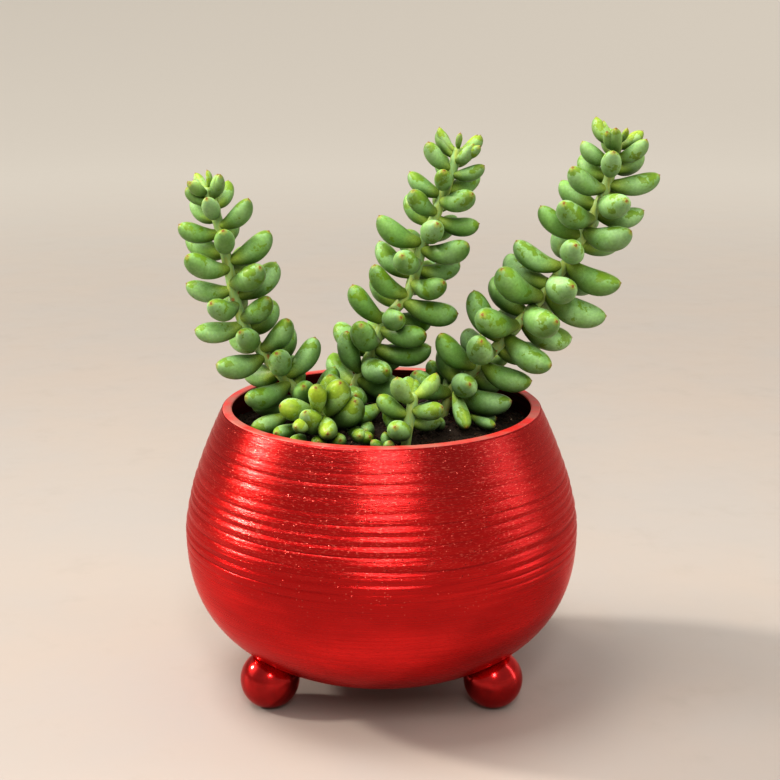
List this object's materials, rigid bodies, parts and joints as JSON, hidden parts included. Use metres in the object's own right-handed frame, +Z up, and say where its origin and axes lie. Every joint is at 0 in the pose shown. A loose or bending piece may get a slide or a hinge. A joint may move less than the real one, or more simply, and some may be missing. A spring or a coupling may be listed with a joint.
{
  "type": "potted burros tail plant",
  "caption": "Plump-leaved trailing succulent standing in a soil-filled round metal bowl pot on ball feet.",
  "frame": {"origin": "on the surface the feet stand on, below the middle of the bounding box", "axes": "+Z up, +Y towards the back, +X to the right as seen from the front"},
  "size_m": [0.1422, 0.1214, 0.1776],
  "materials": {
    "pot_metal": "bright red dyed metal, brushed round the bowl, with fine ridges",
    "foot_metal": "smooth satin red dyed metal",
    "soil": "dark crumbly potting mix with light specks",
    "leafy_stem": "waxy blue-green bloom over green leaves, pale yellow-green stems",
    "young_leaf": "waxy yellow-green leaves"
  },
  "bodies": {
    "root": {"pot": "pot_metal", "foot_front_left": "foot_metal", "foot_front_right": "foot_metal", "foot_back": "foot_metal", "soil": "soil", "stem_left": "leafy_stem", "stem_middle": "leafy_stem", "stem_right": "leafy_stem", "sprig_front": "young_leaf", "shoot_front_left": "young_leaf", "shoot_back_right": "leafy_stem"}
  },
  "joints": []
}
